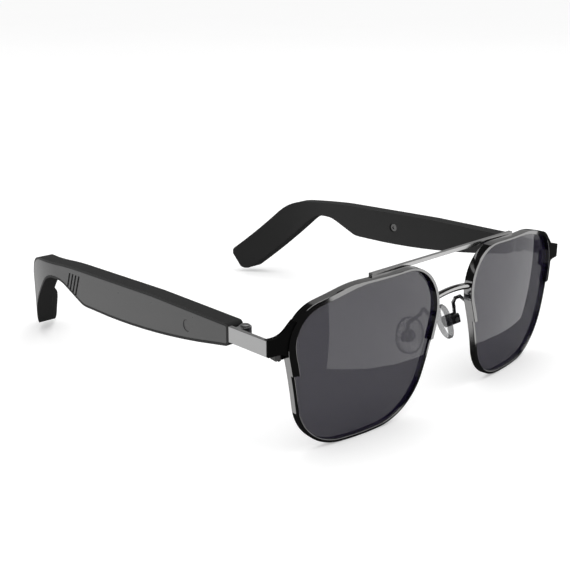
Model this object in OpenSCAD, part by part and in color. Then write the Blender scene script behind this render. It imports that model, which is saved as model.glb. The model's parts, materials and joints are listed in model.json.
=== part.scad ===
// Smart glasses with open-ear speakers in both temples.
// Frame: X across the face (wearer's left is +X), Y from the lenses back to the temple tips,
// Z up. The origin is the middle of the footprint, on the surface the glasses stand on.
// Everything is drawn for the left side and mirrored for the right one.

/* [Overall] */
// Width over the outer faces of the side arms
frame_w = 142.6; // [136:0.2:172]
// Distance between the middles of the two lenses
lens_pitch = 73.7; // [71:0.1:76]
// Width of one rim
rim_w = 57.2; // [47:0.1:58]
// Height of one rim
rim_h = 48.5; // [40:0.1:56]
// Distance from the lens plane back to the temple tips
temple_reach = 156.6; // [142:0.2:190]

/* [Face form] */
// Radius of the lens surfaces
base_r = 145; // [110:1:220]
// Angle by which each lens turns back at the temple side
face_wrap = 6.5; // [0:0.5:9]
// Angle by which the lenses lean forward at the top
face_tilt = 2; // [0:0.5:5]

/* [Rims and lenses] */
// Width of the upper rim at the temple side
rim_side = 2.3; // [1.8:0.1:3]
// Width of the upper rim at its upper outer corner
rim_shoulder = 1.4; // [1.2:0.1:2.6]
// Width of the upper rim along its top
rim_top = 0.7; // [0.7:0.1:2]
// Width of the upper rim at the nose side
rim_nose = 1.5; // [1.2:0.1:2.4]
// Depth of the upper rim
rim_depth = 2.8; // [2.6:0.1:3.6]
// Width of the lower rim
wire_w = 1.0; // [0.9:0.1:1.6]
// Depth of the lower rim
wire_depth = 2.0; // [1.8:0.1:2]
// Thickness of a lens
lens_t = 1.2; // [0.9:0.1:1.3]
// Depth of a lens behind the front of the upper rim
lens_recess = 1.2; // [1:0.1:1.3]
// How far a lens edge sits in the rim
lens_bite = 0.5; // [0.3:0.05:0.6]

/* [Side arms and hinges] */
// Height of the side arms
arm_h = 4.6; // [4:0.1:6]
// Height of the middle of the side arms above the surface
arm_z = 34.7; // [30:0.1:38]
// Thickness of the side arms
arm_t = 1.2; // [0.9:0.1:1.6]
// Place of the front corner behind the lens plane
corner_y = 7.4; // [6:0.1:9]
// Place of the hinge axis behind the lens plane
hinge_y = 21; // [18:0.1:24]
// Diameter of the hinge barrels
barrel_d = 3.6; // [3.2:0.1:4.2]
// Diameter of the hinge screws
pin_d = 1.4; // [1.2:0.1:1.6]
// Gap between a moving and a fixed surface
run_gap = 0.05; // [0.03:0.01:0.1]

/* [Temples] */
// Thickness of a temple
temple_t = 5.5; // [5:0.1:6.6]
// Wall of the temple shells
wall = 1.0; // [0.8:0.05:1.2]
// Height of the temple at its front end
temple_front_h = 6.6; // [6:0.1:7.5]
// Height of the temple at its deepest place
temple_mid_h = 12; // [10.5:0.1:14.4]
// Angle by which the temples lean inwards
splay = 1; // [0:0.1:2]
// Bend radius of the ear hooks
hook_r = 63; // [56:1:90]
// Length of the ear hook behind the bend
hook_len = 41.6; // [36:0.2:44]
// Number of speaker slits in each temple
slits = 4; // [2:1:5]
// Distance between speaker slits
slit_pitch = 1.9; // [1.7:0.1:2.4]
// Width of a speaker slit
slit_w = 0.8; // [0.5:0.1:1]

/* [Nose pads] */
// Width of a nose pad
pad_w = 8.6; // [7:0.1:10]
// Height of a nose pad
pad_h = 11.6; // [9.6:0.1:15]
// Thickness of a nose pad
pad_t = 2; // [1.6:0.1:2.4]

/* [Hidden] */
$fn = 48;
SIDES = [["left", 1], ["right", -1]];
FRONT_PIECES = ["lens", "upper_rim", "lower_rim", "end_piece", "closing_block", "closing_screw",
    "side_arm", "pad_arm"];
PAD_PIECES = ["nose_pad", "pad_core", "pad_screw"];
TEMPLE_PIECES = ["inner_shell", "outer_cover", "hinge_leaf", "hinge_screw", "leaf_screws",
    "battery", "main_board", "speaker", "speaker_mesh", "microphone", "touch_sensor",
    "charge_contact"];

// Places that follow from the sizes above, measured from the lens plane
lens_z = rim_h / 2 * cos(face_tilt);
lean = rim_h / 2 * sin(face_tilt);
mid_y = (temple_reach - lean) / 2;
arm_x = frame_w / 2;
axis_x = arm_x - arm_t - barrel_d / 2 - 1.3;
temple_y = hinge_y + 2.6;
bend_y = temple_reach - hook_len;
seat_gap = 0.02;
pin_bore = pin_d + 2 * run_gap;

// ---------- Outline functions ----------
function unit(v) = v / norm(v);
function xy(p) = [p.x, p.y];
function normal_of(a, b) = let (e = unit(xy(b) - xy(a))) [-e.y, e.x];
function turn_at(a, b, c) = let (e = xy(b) - xy(a), f = xy(c) - xy(b))
    atan2(e.x * f.y - e.y * f.x, e * f);
function spin(v, angle) = [v.x * cos(angle) - v.y * sin(angle), v.x * sin(angle) + v.y * cos(angle)];

// Points along the round corner b of radius b.z between a and c
function corner(a, b, c) =
    let (turn = turn_at(a, b, c), r = max(b.z, 0.01), e = unit(xy(b) - xy(a)),
        start = xy(b) - e * r * tan(abs(turn) / 2), centre = start + normal_of(a, b) * r * sign(turn),
        steps = max(1, ceil(abs(turn) / 9), ceil(abs(turn) * PI / 180 * r / 7)))
    [for (i = [0:steps]) centre + spin(start - centre, turn * i / steps)];

// The closed outline through corners [x, y, radius], counter-clockwise
function rounded(c) = let (n = len(c))
    [for (i = [0:n - 1]) each corner(c[(i + n - 1) % n], c[i], c[(i + 1) % n])];

// Corners moved inwards by a width for each edge, edge i ending at corner i
function inset(c, widths) = let (n = len(c))
    [for (i = [0:n - 1])
        let (a = c[(i + n - 1) % n], b = c[i], d = c[(i + 1) % n],
            n1 = normal_of(a, b), n2 = normal_of(b, d), k = n1 * n2,
            w1 = widths[i], w2 = widths[(i + 1) % n],
            p = xy(b) + ((w1 - w2 * k) * n1 + (w2 - w1 * k) * n2) / (1 - k * k))
        [p.x, p.y, max(0.3, b.z - sign(turn_at(a, b, d)) * (w1 + w2) / 2)]];
function same(c, width) = [for (i = c) width];

// ---------- Placing ----------
module on_side(side) translate([0, -mid_y, 0]) mirror([side < 0 ? 1 : 0, 0, 0]) children();
module at_lens() translate([lens_pitch / 2, 0, lens_z]) rotate([0, 0, face_wrap])
    rotate([face_tilt, 0, 0]) children();
// Temple frame: y runs back along the outer face, x = 0 is the outer face
module at_temple() translate([arm_x, corner_y, 0]) rotate([0, 0, splay])
    translate([0, -corner_y, 0]) children();
module at_hinge() translate([axis_x, hinge_y, arm_z]) children();
// Extrusion towards +Y of an outline in X and Z
module extrude_y(from, to) translate([0, to, 0]) rotate([90, 0, 0])
    linear_extrude(to - from) children();
// Extrusion towards +X of an outline in Y and Z
module extrude_x(from, to) translate([from, 0, 0]) rotate([90, 0, 90])
    linear_extrude(to - from) children();
module rod(a, b, d) let (v = b - a) translate(a)
    rotate([0, acos(v.z / norm(v)), atan2(v.y, v.x)]) cylinder(d = d, h = norm(v), $fn = 32);
// Bent wire through a list of points
module wire(points, d) {
    for (i = [0:len(points) - 2]) rod(points[i], points[i + 1], d);
    for (i = [1:len(points) - 2]) translate(points[i]) sphere(d = d * 1.12, $fn = 32);
}

// ---------- Rims and lenses ----------
// Corners of a rim as shares of its width and height, with radii in millimetres
rim_corners = [
    [-0.590 * rim_w, 0.493 * rim_h, 13.9],
    [-0.330 * rim_w, -0.485 * rim_h, 18.5],
    [0.040 * rim_w, -0.503 * rim_h, 140],
    [0.402 * rim_w, -0.485 * rim_h, 17.5],
    [0.532 * rim_w, 0.366 * rim_h, 12.7],
    [0.126 * rim_w, 0.486 * rim_h, 33.8]];
upper_widths = [rim_top, rim_nose, rim_nose, rim_nose, rim_side, rim_shoulder];
rim_outline = rounded(rim_corners);
opening_outline = rounded(inset(rim_corners, upper_widths));
wire_outline = rounded(inset(rim_corners, same(rim_corners, wire_w)));
lens_outline = rounded(inset(rim_corners, same(rim_corners, wire_w - lens_bite)));
nose_split = -0.3;
side_split = 1;

// Layer of the lens dome between two depths behind its front
module dome(front, back) translate([0, base_r, 0]) difference() {
    sphere(r = base_r - front, $fn = 180);
    sphere(r = base_r - back, $fn = 180);
}
module lens_layer(outline, front, back) intersection() {
    extrude_y(-1, 14) polygon(outline);
    dome(front, back);
}
// Region above the joint between upper and lower rim, or below it
module rim_half(up) let (rise = side_split - nose_split, z0 = (side_split + nose_split) / 2,
        edge = rim_w, far = up * rim_h)
    extrude_y(-2, 15) polygon([[-edge, z0 - rise], [edge, z0 + rise], [edge, far], [-edge, far]]);
module lens_groove() lens_layer(lens_outline, lens_recess, lens_recess + lens_t);

module upper_rim() color("#1b1c1f") at_lens() intersection() {
    rim_half(1);
    difference() {
        lens_layer(rim_outline, 0, rim_depth);
        extrude_y(-2, 15) polygon(opening_outline);
        lens_groove();
    }
}
module lower_rim() color("#2a2b2e") at_lens() intersection() {
    rim_half(-1);
    difference() {
        lens_layer(rim_outline, rim_depth - wire_depth, rim_depth);
        extrude_y(-2, 15) polygon(wire_outline);
        lens_groove();
    }
}
module lens() color([0.25, 0.24, 0.28, 0.85]) at_lens()
    lens_layer(rounded(inset(rim_corners, same(rim_corners, wire_w - lens_bite + seat_gap))),
        lens_recess + seat_gap, lens_recess + lens_t - seat_gap);
// Room taken by a whole rim, and the same run out to the front and back
module rim_layer() at_lens() lens_layer(rim_outline, 0, rim_depth);
module rim_space() at_lens() extrude_y(-6, 18) polygon(rim_outline);

// ---------- Bridges ----------
brow_z = rim_h - 0.35;
brow_h = 1.15;
brow_t = 1.3;
brow_y = 2.17 + rim_h * rim_h / 8 / base_r;
bridge_d = 2;
bridge_y = 1.2;
bridge_z = lens_z + 0.239 * rim_h;
bridge_rise = 1.2;

module both() { children(); mirror([1, 0, 0]) children(); }

// Straight bar behind the upper rims
module brow_bar() color("#9a9b9e") translate([0, -mid_y, 0]) difference() {
    let (half = lens_pitch / 2 - 2, z = brow_z)
        translate([-half, brow_y - brow_t / 2, z - brow_h / 2]) cube([2 * half, brow_t, brow_h]);
    both() rim_layer();
}
// Arched bridge between the nose sides of the rims
module bridge() color("#3c3d40") translate([0, -mid_y, 0]) difference() {
    let (half = lens_pitch / 2 - 0.46 * rim_w,
            r = (half * half + bridge_rise * bridge_rise) / 2 / bridge_rise, angle = asin(half / r))
        translate([0, bridge_y, bridge_z + bridge_rise - r]) rotate([90, -90, 0])
            rotate([0, 0, -angle]) rotate_extrude(angle = 2 * angle, $fn = 180)
                translate([r, 0]) circle(d = bridge_d, $fn = 32);
    both() rim_space();
}

// ---------- End pieces, closing blocks and side arms ----------
block = [3, 2.4, 5.4];
block_drop = 2;
// Temporal edge of the rim beside the lower half of the closing block, across the lens, and its depth
side_edge = [for (p = rim_outline) if (p.x > 0.3 * rim_w) [p.y, p.x]];
block_edge = max([for (low = [0, block.z / 2]) lookup(arm_z - block_drop - low - lens_z, side_edge)]);
rim_edge_y = block_edge * sin(face_wrap) + block_edge * block_edge / 2 / base_r;
ear_len = arm_x - lens_pitch / 2 - rim_w / 2 + 3.15;
ear_t = 1.8;
ear_lap = 0.5;
ear_angle = atan2(corner_y - rim_edge_y, ear_len);
ear_neck = ear_len - 3.8;
ear_h = arm_h + 0.2;
module at_ear() translate([arm_x, corner_y, arm_z]) rotate([0, 0, ear_angle]) children();

// Flat black lug between the rim and the side arm
module end_piece() color("#141416") difference() {
    at_ear() extrude_y(0, ear_t) polygon(rounded([
        [0, -ear_h / 2, 0.3], [0, ear_h / 2, 0.3], [0.6 - ear_neck, ear_h / 2, 6],
        [-ear_len, ear_h / 2 + 4.2, 0.3], [-ear_len, -ear_h / 2 - 3.4, 0.3], [-ear_neck, -ear_h / 2, 5]]));
    rim_space();
    at_temple() translate([-arm_t, corner_y + ear_lap, arm_z - arm_h / 2]) cube([9, temple_y, arm_h]);
}
screw_d = 1.2;
screw_head_d = 2;
screw_head_h = 0.5;
block_x = lens_pitch / 2 + block_edge * cos(face_wrap) + 1.05;
module at_block() at_ear() translate([(block_x - arm_x) / cos(ear_angle), ear_t, -block_drop]) children();
// Pair of tubes that closes the rim around the lens
module closing_block() color("#202124") difference() {
    at_block() translate([-block.x / 2, 0, -block.z / 2]) cube(block);
    rim_space();
    at_block() translate([0, block.y / 2, -block.z]) cylinder(d = screw_d, h = 3 * block.z);
}
module closing_screw() color("#8d8e91") at_block() translate([0, block.y / 2, -block.z / 2]) {
    cylinder(d = screw_d, h = block.z);
    translate([0, 0, -screw_head_h]) difference() {
        cylinder(d = screw_head_d, h = screw_head_h);
        translate([-1.5, -0.15, -0.1]) cube([3, 0.3, 0.35]);
    }
}

knuckle_h = (arm_h - 0.4) / 3;
module knuckle(level, h) at_hinge() translate([0, 0, level * knuckle_h - h / 2])
    cylinder(d = barrel_d, h = h);
module pin_hole() at_hinge() translate([0, 0, -arm_h]) cylinder(d = pin_bore, h = 2 * arm_h);
// Brushed bar from the front corner back to the temple, with the outer hinge barrels
module side_arm() color("#b9babd") difference() {
    union() {
        at_temple() translate([-arm_t, corner_y + ear_lap, arm_z - arm_h / 2])
            cube([arm_t, temple_y - 0.2 - corner_y - ear_lap, arm_h]);
        for (level = [-1, 1]) {
            knuckle(level, knuckle_h);
            translate([axis_x, hinge_y - 1.1, arm_z + level * knuckle_h - knuckle_h / 2])
                cube([arm_x - arm_t - axis_x, 2.2, knuckle_h]);
        }
    }
    pin_hole();
}
leaf_t = 1.4;
leaf_len = 10;
leaf_h = 3;
leaf_z = knuckle_h - 2 * run_gap;
// Middle hinge barrel with the tongue that is screwed into the temple
module hinge_leaf() color("#a4a5a8") difference() {
    union() {
        knuckle(0, leaf_z);
        leaf_tongue(0);
    }
    pin_hole();
    leaf_screw_places() translate([-9, 0, 0]) rotate([0, 90, 0]) cylinder(d = screw_d, h = 18);
}
// Neck and plate of the leaf, with a gap all round
module leaf_tongue(gap) at_hinge() {
    translate([-leaf_t / 2 - gap, 0, -leaf_z / 2 - gap])
        cube([leaf_t + 2 * gap, leaf_len, leaf_z + 2 * gap]);
    translate([-leaf_t / 2 - gap, temple_y - hinge_y + wall - gap, -leaf_h / 2 - gap])
        cube([leaf_t + 2 * gap, leaf_len - wall + 2 * gap, leaf_h + 2 * gap]);
}
module leaf_screw_places() for (i = [0, 1])
    at_hinge() translate([0, temple_y - hinge_y + 3.6 + 4.4 * i, 0]) children();
module hinge_screw() color("#c9cacd") at_hinge() translate([0, 0, -1.5 * knuckle_h]) {
    cylinder(d = pin_d, h = 3 * knuckle_h);
    translate([0, 0, 3 * knuckle_h]) difference() {
        cylinder(d = 2.6, h = 0.5);
        translate([-2, -0.2, 0.25]) cube([4, 0.4, 0.5]);
    }
}
// Screws that clamp the leaf to the inner wall, put in before the cover
leaf_screw_len = leaf_t + 0.5;
module leaf_screw_shanks() leaf_screw_places() translate([leaf_t / 2 - leaf_screw_len, 0, 0])
    rotate([0, 90, 0]) cylinder(d = screw_d, h = leaf_screw_len);
module leaf_screws() color("#8d8e91") {
    leaf_screw_shanks();
    leaf_screw_places() translate([leaf_t / 2, 0, 0]) rotate([0, 90, 0])
        cylinder(d = screw_head_d, h = screw_head_h);
}

// ---------- Temples ----------
top_z = arm_z + 3.05;
low_z = top_z - temple_mid_h - 1.35;
ear_y = temple_reach - 59;
// The lower edge deepens from the front end to the speaker bay in one long curve
low_run = 0.493 * (ear_y - temple_y);
low_turn = atan2(top_z - temple_front_h - low_z, low_run);
// Side outline of a temple in Y and Z
temple_corners = [
    [temple_y, top_z - temple_front_h, 1.3],
    [temple_y + low_run, low_z, 0.82 * low_run / tan(low_turn / 2)],
    [ear_y + 0.9, low_z, 9],
    [ear_y + 14.5, low_z + 5.6, 13],
    [ear_y + 24, low_z + 5.5, 13],
    [temple_reach - 3.7, 0.1, 2.4],
    [temple_reach + 0.4, 10.4, 3],
    [temple_reach - 22.2, top_z - 3.6, 18],
    [ear_y + 9, top_z - 1.2, 120],
    [ear_y - 38, top_z + 0.1, 330],
    [temple_y, top_z - 0.2, 1.3]];
bay_end = ear_y + 17;
cover_lip = 0.75;

// Plan strip of a temple between two depths from its outer face
module strip(outer, inner) {
    translate([-inner, 0, 0]) cube([inner - outer, bend_y, rim_h]);
    translate([-hook_r, bend_y, 0]) rotate_extrude(angle = 46, $fn = 240)
        translate([hook_r - inner, 0]) square([inner - outer, rim_h]);
}
module temple_body(outer, inner, edge) intersection() {
    extrude_x(-hook_r, 2) polygon(rounded(inset(temple_corners, same(temple_corners, edge))));
    strip(outer, inner);
}
module bay_space() intersection() {
    temple_body(wall - 0.5, temple_t - wall, wall);
    translate([-hook_r, 0, 0]) cube([2 * hook_r, bay_end, 2 * rim_h]);
}
contact_y = ear_y - 19.4;
contact_d = 3;
seat_d = 3.6;
seat_depth = 0.5;
contact_z = top_z - 6.4;
mic_y = temple_y + 11.4;
mic_bore = 0.8;
touch_y = temple_y + 0.249 * (ear_y - temple_y);

module inner_shell() color("#333436") difference() {
    at_temple() temple_body(0, temple_t, 0);
    at_temple() temple_body(-1, wall, cover_lip);
    at_temple() bay_space();
    leaf_tongue(seat_gap);
    leaf_screw_shanks();
    at_temple() translate([-temple_t, contact_y, contact_z]) rotate([0, 90, 0]) {
        translate([0, 0, -1]) cylinder(d = seat_d, h = 1 + seat_depth);
        cylinder(d = contact_d, h = temple_t / 2);
    }
    at_temple() translate([-temple_t / 2, mic_y, 0]) cylinder(d = mic_bore, h = arm_z);
}
slit_top = top_z - 3.6;
module slit_row(deep) for (i = [0:slits - 1])
    let (y = ear_y + 2.1 + slit_pitch * i, low = low_z + 1.6 + 0.9 * i)
        extrude_x(-deep, 1) polygon([[y, slit_top], [y + slit_w, slit_top],
            [y + slit_w + 2.1 + 0.4 * (slits - 1 - i), low], [y + 2.1 + 0.4 * (slits - 1 - i), low]]);
module outer_cover() color("#5c5d60") at_temple() difference() {
    temple_body(0, wall - seat_gap, cover_lip + seat_gap);
    slit_row(2 * wall);
    translate([0.2, touch_y, top_z - 5.4]) rotate([0, -90, 0]) cylinder(d = 3.6, h = 0.4);
}

// ---------- Electronics ----------
cell = [2.8, 25, 6.9];
board = [0.8, 19, 8.4];
// Place of each chip along and up the board, and its side length
chips = [[5, 1.2, 4.6], [10.5, 1, 3.6], [14.6, 2.2, 3]];
chip_h = 1;
driver = [2.7, 8.4, 5.6];
driver_rim = 0.8;
// Inner wall of the bay, seen from the outer face
bay_floor = wall - temple_t;
module battery() color("#7f8fa6") at_temple()
    translate([-wall - 0.2 - cell.x, ear_y - 48.6, top_z - 8.5]) cube(cell);
module main_board() color("#1f5b3a") at_temple() translate([bay_floor + 0.9, contact_y - 3, low_z + 2]) {
    cube(board);
    for (chip = chips) translate([board.x, chip.x, chip.y]) cube([chip_h, chip.z, chip.z]);
}
module speaker() color("#2b2b2b") at_temple() translate([bay_floor + 0.3, ear_y - 2.4, low_z + 4.6])
    difference() {
        cube(driver);
        translate([driver.x - 0.3, driver_rim, driver_rim])
            cube([1, driver.y - 2 * driver_rim, driver.z - 2 * driver_rim]);
    }
// Acoustic mesh behind the slits, following the outline of the bay
module speaker_mesh() color("#101010") at_temple() intersection() {
    temple_body(wall, wall + 0.2, wall + 0.1);
    translate([-hook_r, ear_y + 0.8, low_z]) cube([2 * hook_r, 11, temple_mid_h]);
}
mic_body = [2.4, 3.2, 1];
mic_floor = top_z - temple_front_h + wall - 0.6;
module microphone() color("#c2a14d") at_temple() translate([-temple_t / 2, mic_y, mic_floor]) difference() {
    translate([-mic_body.x / 2, -mic_body.y / 2, 0]) cube(mic_body);
    translate([0, 0, -0.1]) cylinder(d = mic_bore, h = 0.6);
}
touch_film = [0.1, 9.6, 4.6];
module touch_sensor() color("#b87333") at_temple()
    translate([-wall - seat_gap - touch_film.x, touch_y - 4, top_z - 7]) cube(touch_film);
module charge_contact() color("#d4af37") at_temple() translate([-temple_t, contact_y, contact_z])
    rotate([0, 90, 0]) difference() {
        translate([0, 0, seat_depth]) cylinder(d = contact_d, h = wall + 0.2 - seat_depth);
        translate([0, 0, seat_depth - 0.1]) cylinder(d = 1.4, h = 0.4);
    }

// ---------- Nose pads ----------
nose_edge = lens_pitch / 2 - 0.48 * rim_w;
pad_y = 9.6;
pad_z = 22.2;
pad_flare = 14;
pad_turn = 26;
// Pad frame: x is the direction away from the nose, z up along the pad
module at_pad() translate([nose_edge, pad_y, pad_z]) rotate([0, 0, -pad_turn]) rotate([0, -pad_flare, 0])
    children();
pivot_x = 3.2;
// Place of a point of the pad's middle plane, x away from the nose and z up along the pad
function pad_point(x, z) = let (out = x * cos(pad_flare) - z * sin(pad_flare))
    [nose_edge + out * cos(pad_turn), pad_y - out * sin(pad_turn),
        pad_z + x * sin(pad_flare) + z * cos(pad_flare)];
eye_d = 2.2;
eye_w = 1.2;
pad_screw_d = 1;
arm_wire_d = 1.1;
// Way of the wire from the rim back and over, seen from the nose edge and the middle of the lens
arm_bends = [[0, 1.4, 5.8], [0, 3.3, 7], [-0.4, 4.6, 7.7], [-1, 5.8, 7], [-1, 6.5, 5.4]];
module across_pad(d, h) at_pad() translate([pivot_x, 0, 0]) rotate([90, 0, 0])
    cylinder(d = d, h = h, center = true);
module pad_arm() color("#2c2d30") difference() {
    union() {
        wire(concat([for (p = arm_bends) [nose_edge + p.x, p.y, lens_z + p.z]],
            [pad_point(pivot_x + 0.4, 4), pad_point(pivot_x, 0)]), arm_wire_d);
        across_pad(eye_d, eye_w);
    }
    rim_layer();
    across_pad(pad_screw_d + 2 * run_gap, 9);
}
core_d = 3.8;
core_w = 3.2;
core_sink = 0.7;
// Depth of the back face of a pad behind the pad frame
pad_back = 0.4;
module core_disc(gap) translate([-core_sink - gap, 0, 0]) rotate([0, 90, 0])
    cylinder(d = core_d + 2 * gap, h = core_sink + pad_back + 2 * gap);
// Stiff core: a disc moulded into the pad, and a post that holds the eye of the arm
module pad_core() color("#8a8b8e") difference() {
    at_pad() union() {
        core_disc(0);
        intersection() {
            translate([pad_back, 0, 0]) rotate([0, 90, 0]) cylinder(d = core_d, h = pivot_x + 0.7);
            translate([0, -core_w / 2, -core_d]) cube([2 * pivot_x, core_w, 2 * core_d]);
        }
    }
    at_pad() translate([pivot_x - eye_d / 2 - 0.3, -eye_w / 2 - 0.1, -9]) cube([9, eye_w + 0.2, 18]);
    across_pad(pad_screw_d, 9);
}
module pad_screw() color("#c9cacd") {
    across_pad(pad_screw_d, core_w);
    at_pad() translate([pivot_x, -core_w / 2, 0]) rotate([90, 0, 0]) cylinder(d = 1.5, h = 0.4);
}
pad_low_r = 3.6;
pad_top_r = 4.1;
pad_dome_r = 24;
// Clear pad with a domed face towards the nose
module nose_pad() color([0.9, 0.92, 0.95, 0.6]) at_pad() difference() {
    pad_body();
    core_disc(seat_gap);
}
module pad_body() intersection() {
    extrude_x(-pad_t, pad_back) polygon(rounded([
        [-pad_w / 2, -pad_h / 2, pad_low_r], [pad_w / 2, -pad_h / 2, pad_low_r],
        [pad_w / 2, pad_h / 2, pad_top_r], [-pad_w / 2, pad_h / 2, pad_top_r]]));
    translate([pad_dome_r - pad_t, 0, 0]) sphere(r = pad_dome_r, $fn = 96);
}

// ---------- Assembly ----------
module place(name, side) on_side(side) {
    if (name == "lens") lens();
    if (name == "upper_rim") upper_rim();
    if (name == "lower_rim") lower_rim();
    if (name == "end_piece") end_piece();
    if (name == "closing_block") closing_block();
    if (name == "closing_screw") closing_screw();
    if (name == "side_arm") side_arm();
    if (name == "pad_arm") pad_arm();
    if (name == "nose_pad") nose_pad();
    if (name == "pad_core") pad_core();
    if (name == "pad_screw") pad_screw();
    if (name == "inner_shell") inner_shell();
    if (name == "outer_cover") outer_cover();
    if (name == "hinge_leaf") hinge_leaf();
    if (name == "hinge_screw") hinge_screw();
    if (name == "leaf_screws") leaf_screws();
    if (name == "battery") battery();
    if (name == "main_board") main_board();
    if (name == "speaker") speaker();
    if (name == "speaker_mesh") speaker_mesh();
    if (name == "microphone") microphone();
    if (name == "touch_sensor") touch_sensor();
    if (name == "charge_contact") charge_contact();
}
brow_bar();
bridge();
for (piece = concat(FRONT_PIECES, PAD_PIECES, TEMPLE_PIECES), s = SIDES)
    place(piece, s[1]);
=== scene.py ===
# %% [markdown]
# # Smart glasses with a brow bar
# The frame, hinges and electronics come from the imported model, each as its own fixed node. This lesson
# gives them their finishes, and rebuilds the pieces whose edges and curves the eye rests on: rims,
# lenses, temples and nose pads. Every length is in metres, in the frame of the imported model: X across
# the face, Y from the lenses back to the temple tips, Z up.

# %% Load the fixed frame
import json
import math

import bmesh
import bpy
import numpy as np
from mathutils import Matrix, Vector


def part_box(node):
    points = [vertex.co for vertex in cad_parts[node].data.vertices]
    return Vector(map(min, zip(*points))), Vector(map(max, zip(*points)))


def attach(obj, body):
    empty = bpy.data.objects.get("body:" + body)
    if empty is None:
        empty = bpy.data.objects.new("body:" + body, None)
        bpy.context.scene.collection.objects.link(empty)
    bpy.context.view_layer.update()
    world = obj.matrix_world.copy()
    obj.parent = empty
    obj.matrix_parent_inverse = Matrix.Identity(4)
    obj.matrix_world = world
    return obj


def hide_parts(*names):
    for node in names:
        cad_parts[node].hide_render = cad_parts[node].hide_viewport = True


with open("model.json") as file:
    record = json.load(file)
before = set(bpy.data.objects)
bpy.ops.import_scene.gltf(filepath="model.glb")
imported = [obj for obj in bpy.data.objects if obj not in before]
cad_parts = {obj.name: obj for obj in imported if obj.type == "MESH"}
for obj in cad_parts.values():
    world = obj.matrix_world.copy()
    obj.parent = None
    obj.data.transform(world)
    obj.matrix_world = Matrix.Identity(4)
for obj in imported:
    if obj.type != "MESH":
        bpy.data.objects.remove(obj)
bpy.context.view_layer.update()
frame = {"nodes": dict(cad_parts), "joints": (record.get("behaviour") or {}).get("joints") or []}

MM = 0.001
SIDES = (("left", 1), ("right", -1))
joints = {joint["name"]: joint for joint in frame["joints"]}
print("nodes:", len(frame["nodes"]), "joints:", sorted(joints))

# %% [markdown]
# ## A small language for shaders
# A finish is a sum of simple fields: a base colour, a fine grain, a slow change of tone. Written as
# Python expressions they stay readable. Each value is a socket in a wrapper, and every operator adds
# one Math node. Colours are mixed by Mix nodes, because a Math node would turn them grey.


# %% Shader helper
class Field:
    """A number that changes over the surface, held in an output socket."""

    def __init__(self, shader, socket):
        self.shader = shader
        self.socket = socket

    def math(self, operation, other=0.0, swap=False):
        values = (other, self) if swap else (self, other)
        return self.shader.node("ShaderNodeMath", {"operation": operation}, {0: values[0], 1: values[1]})

    def __add__(self, other):
        return self.math("ADD", other)

    def __radd__(self, other):
        return self.math("ADD", other, swap=True)

    def __sub__(self, other):
        return self.math("SUBTRACT", other)

    def __rsub__(self, other):
        return self.math("SUBTRACT", other, swap=True)

    def __mul__(self, other):
        return self.math("MULTIPLY", other)

    def __rmul__(self, other):
        return self.math("MULTIPLY", other, swap=True)


class Shader:
    """One material, with its Principled shader and its Object coordinates."""

    def __init__(self, name, **constants):
        self.material = bpy.data.materials.new(name)
        self.material.use_nodes = True
        self.tree = self.material.node_tree
        self.principled = self.tree.nodes["Principled BSDF"]
        for socket, value in constants.items():
            self.principled.inputs[socket.replace("_", " ")].default_value = value
        self.position = self.node("ShaderNodeTexCoord", {}, {}, "Object")

    def node(self, kind, settings, inputs, output=0):
        node = self.tree.nodes.new(kind)
        for name, value in settings.items():
            if name == "stops":
                self.set_stops(node.color_ramp, value)
            else:
                setattr(node, name, value)
        for key, value in inputs.items():
            if isinstance(value, Field):
                self.tree.links.new(value.socket, node.inputs[key])
            else:
                node.inputs[key].default_value = value
        return Field(self, node.outputs[output])

    @staticmethod
    def set_stops(ramp, stops):
        while len(ramp.elements) < len(stops):
            ramp.elements.new(1.0)
        for element, (place, value) in zip(ramp.elements, stops):
            element.position = place
            element.color = (value, value, value, 1.0)

    def stretched(self, scale):
        """Object coordinates, stretched along the axes."""
        return self.node("ShaderNodeMapping", {}, {"Vector": self.position, "Scale": scale})

    def noise(self, scale, detail=2.0, coordinates=None):
        inputs = {"Vector": coordinates or self.position, "Scale": scale, "Detail": detail}
        return self.node("ShaderNodeTexNoise", {}, inputs)

    def ramp(self, value, stops):
        return self.node("ShaderNodeValToRGB", {"stops": stops}, {"Fac": value})

    def blend(self, share, first, second):
        """A colour between two colours."""
        inputs = {0: share, 6: first, 7: second}
        return self.node("ShaderNodeMix", {"data_type": "RGBA"}, inputs, 2)

    def feed(self, **values):
        for name, value in values.items():
            self.tree.links.new(value.socket, self.principled.inputs[name.replace("_", " ")])

    def bump(self, height, depth, strength=1.0):
        inputs = {"Height": height, "Distance": depth, "Strength": strength}
        self.feed(Normal=self.node("ShaderNodeBump", {}, inputs))


def grey(value, warm=0.0):
    """A neutral colour, or one a little warmer than neutral."""
    return (value * (1 + warm), value, value * (1 - warm), 1.0)


# %% [markdown]
# ## Finishes
# The rims are polished metal under a dark plating: what they show is the room, so the base is a mid
# grey metal and the roughness is very low. The side arms are brushed, so their grain is noise that is
# stretched along the bar. The temples are moulded plastic: a fine spark-eroded grain in the bump, and
# a slow change of tone so that the long faces aren't flat.


# %% Metals
def polished_metal(name, value, roughness=0.07):
    shader = Shader(name, Metallic=1.0)
    haze = shader.noise(420.0, 3.0)
    marks = shader.noise(60.0, 4.0, shader.stretched((1.0, 9.0, 1.0)))
    shader.feed(
        Base_Color=shader.blend(haze, grey(value * 0.92), grey(value * 1.06, 0.01)),
        Roughness=roughness + 0.05 * shader.ramp(marks, ((0.45, 0.0), (0.8, 1.0))),
    )
    shader.bump(shader.noise(2600.0, 2.0), 0.000002, 0.25)
    return shader.material


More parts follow.
